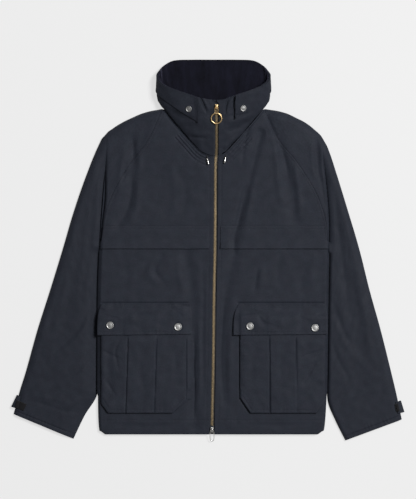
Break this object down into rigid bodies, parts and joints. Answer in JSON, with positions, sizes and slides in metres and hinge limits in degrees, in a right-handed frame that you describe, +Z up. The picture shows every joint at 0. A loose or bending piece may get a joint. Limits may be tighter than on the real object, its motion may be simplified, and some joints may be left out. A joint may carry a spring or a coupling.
{
  "type": "waterproof jacket",
  "caption": "Dark blue waterproof jacket with a standing collar, raglan sleeves, a front zip and flapped bellows pockets, laid flat with its front upwards.",
  "frame": {"origin": "middle of the whole outline on the surface that the jacket lies on", "axes": "+Z up from the surface, +Y from hem to collar, +X towards the wearer's left"},
  "size_m": [0.8667, 0.8405, 0.0493],
  "materials": {
    "shell_cloth": "matt coated canvas",
    "lining_cloth": "brushed",
    "zip_tape_cloth": "woven tape",
    "black_tab": "matt",
    "cord_cloth": "braided",
    "zip_brass": "antique",
    "nickel": "nickel plated",
    "snap_metal": "gunmetal"
  },
  "bodies": {
    "garment": {"back": "shell_cloth", "bottom_slider": "nickel", "collar": "shell_cloth", "collar_band": "shell_cloth", "collar_lining": "lining_cloth", "collar_snap_left": "snap_metal", "collar_snap_right": "snap_metal", "cord_tip_left": "nickel", "cord_tip_right": "nickel", "cuff_loop_left": "shell_cloth", "cuff_loop_right": "shell_cloth", "cuff_tab_left": "black_tab", "cuff_tab_right": "black_tab", "drawcord_left": "cord_cloth", "drawcord_right": "cord_cloth", "front_left": "shell_cloth", "front_right": "shell_cloth", "pocket_flap_left": "shell_cloth", "pocket_flap_right": "shell_cloth", "pocket_left": "shell_cloth", "pocket_right": "shell_cloth", "pocket_snap_left_1": "snap_metal", "pocket_snap_left_2": "snap_metal", "pocket_snap_right_1": "snap_metal", "pocket_snap_right_2": "snap_metal", "sleeve_back_left": "shell_cloth", "sleeve_back_right": "shell_cloth", "sleeve_front_left": "shell_cloth", "sleeve_front_right": "shell_cloth", "storm_flap_left": "shell_cloth", "storm_flap_right": "shell_cloth", "top_slider": "nickel", "zip_chain": "zip_brass", "zip_tape": "zip_tape_cloth"},
    "upper_pull": {"top_pull": "nickel"},
    "lower_pull": {"bottom_pull": "nickel"}
  },
  "joints": [
    {"name": "upper_pull_lift", "type": "hinge", "parent": "garment", "child": "upper_pull", "pos_m": [0.0188, 0.31391, 0.04618], "axis": [-1, 0, 0], "range_deg": [0, 150]},
    {"name": "lower_pull_lift", "type": "hinge", "parent": "garment", "child": "lower_pull", "pos_m": [0.00912, -0.39394, 0.01602], "axis": [-1, 0, 0], "range_deg": [0, 150]}
  ]
}
